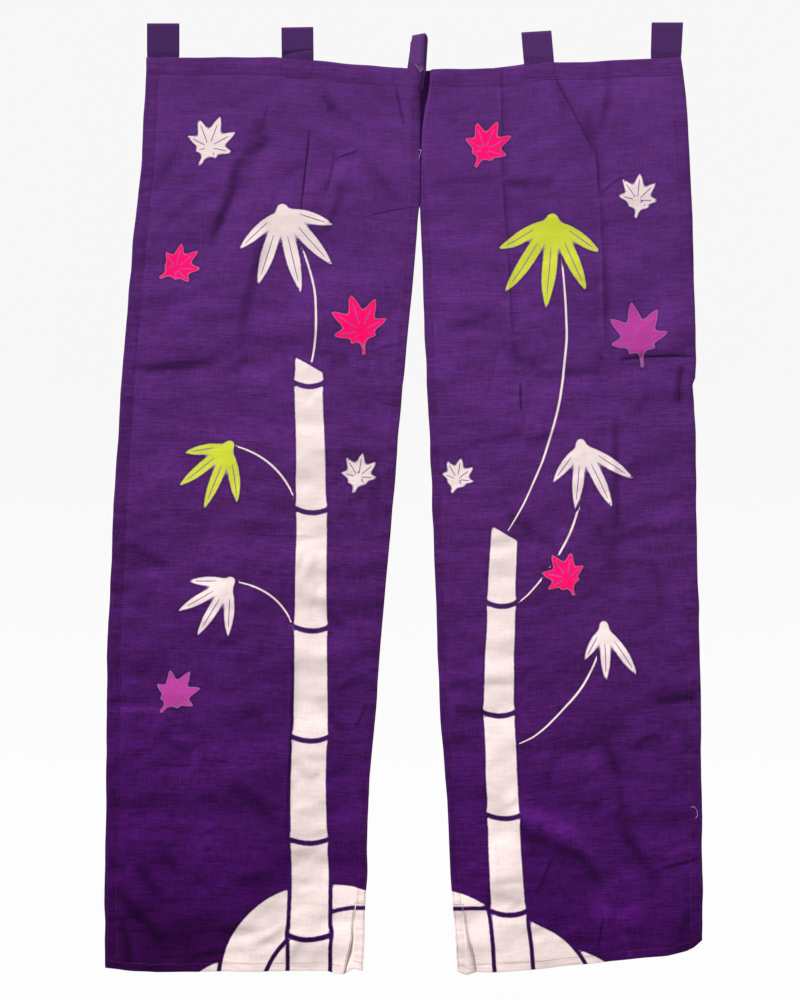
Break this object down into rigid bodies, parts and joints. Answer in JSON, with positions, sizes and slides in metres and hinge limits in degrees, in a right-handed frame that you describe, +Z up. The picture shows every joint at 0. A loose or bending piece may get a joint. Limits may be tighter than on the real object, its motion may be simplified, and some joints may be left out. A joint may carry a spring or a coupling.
{
  "type": "noren curtain",
  "caption": "Split door curtain of slub cotton: two panels sewn together at the top, hung by tab loops, with turned hems and a short vent in each hem.",
  "frame": {"origin": "on the line that the tab loops hang from, above the seam between the two panels, in the plane of the heading", "axes": "+Z up, +X to the right as the printed side is looked at, -Y out of the printed side"},
  "size_m": [0.9342, 0.0352, 1.4914],
  "materials": {
    "cotton": "dull dyed slub cotton, resist-printed",
    "tape": "dull ribbed cotton tape"
  },
  "bodies": {
    "root": {"panel_left": "cotton", "panel_right": "cotton", "tab_1": "tape", "tab_2": "tape", "tab_3": "tape", "tab_4": "tape", "tab_5": "tape"}
  },
  "joints": []
}
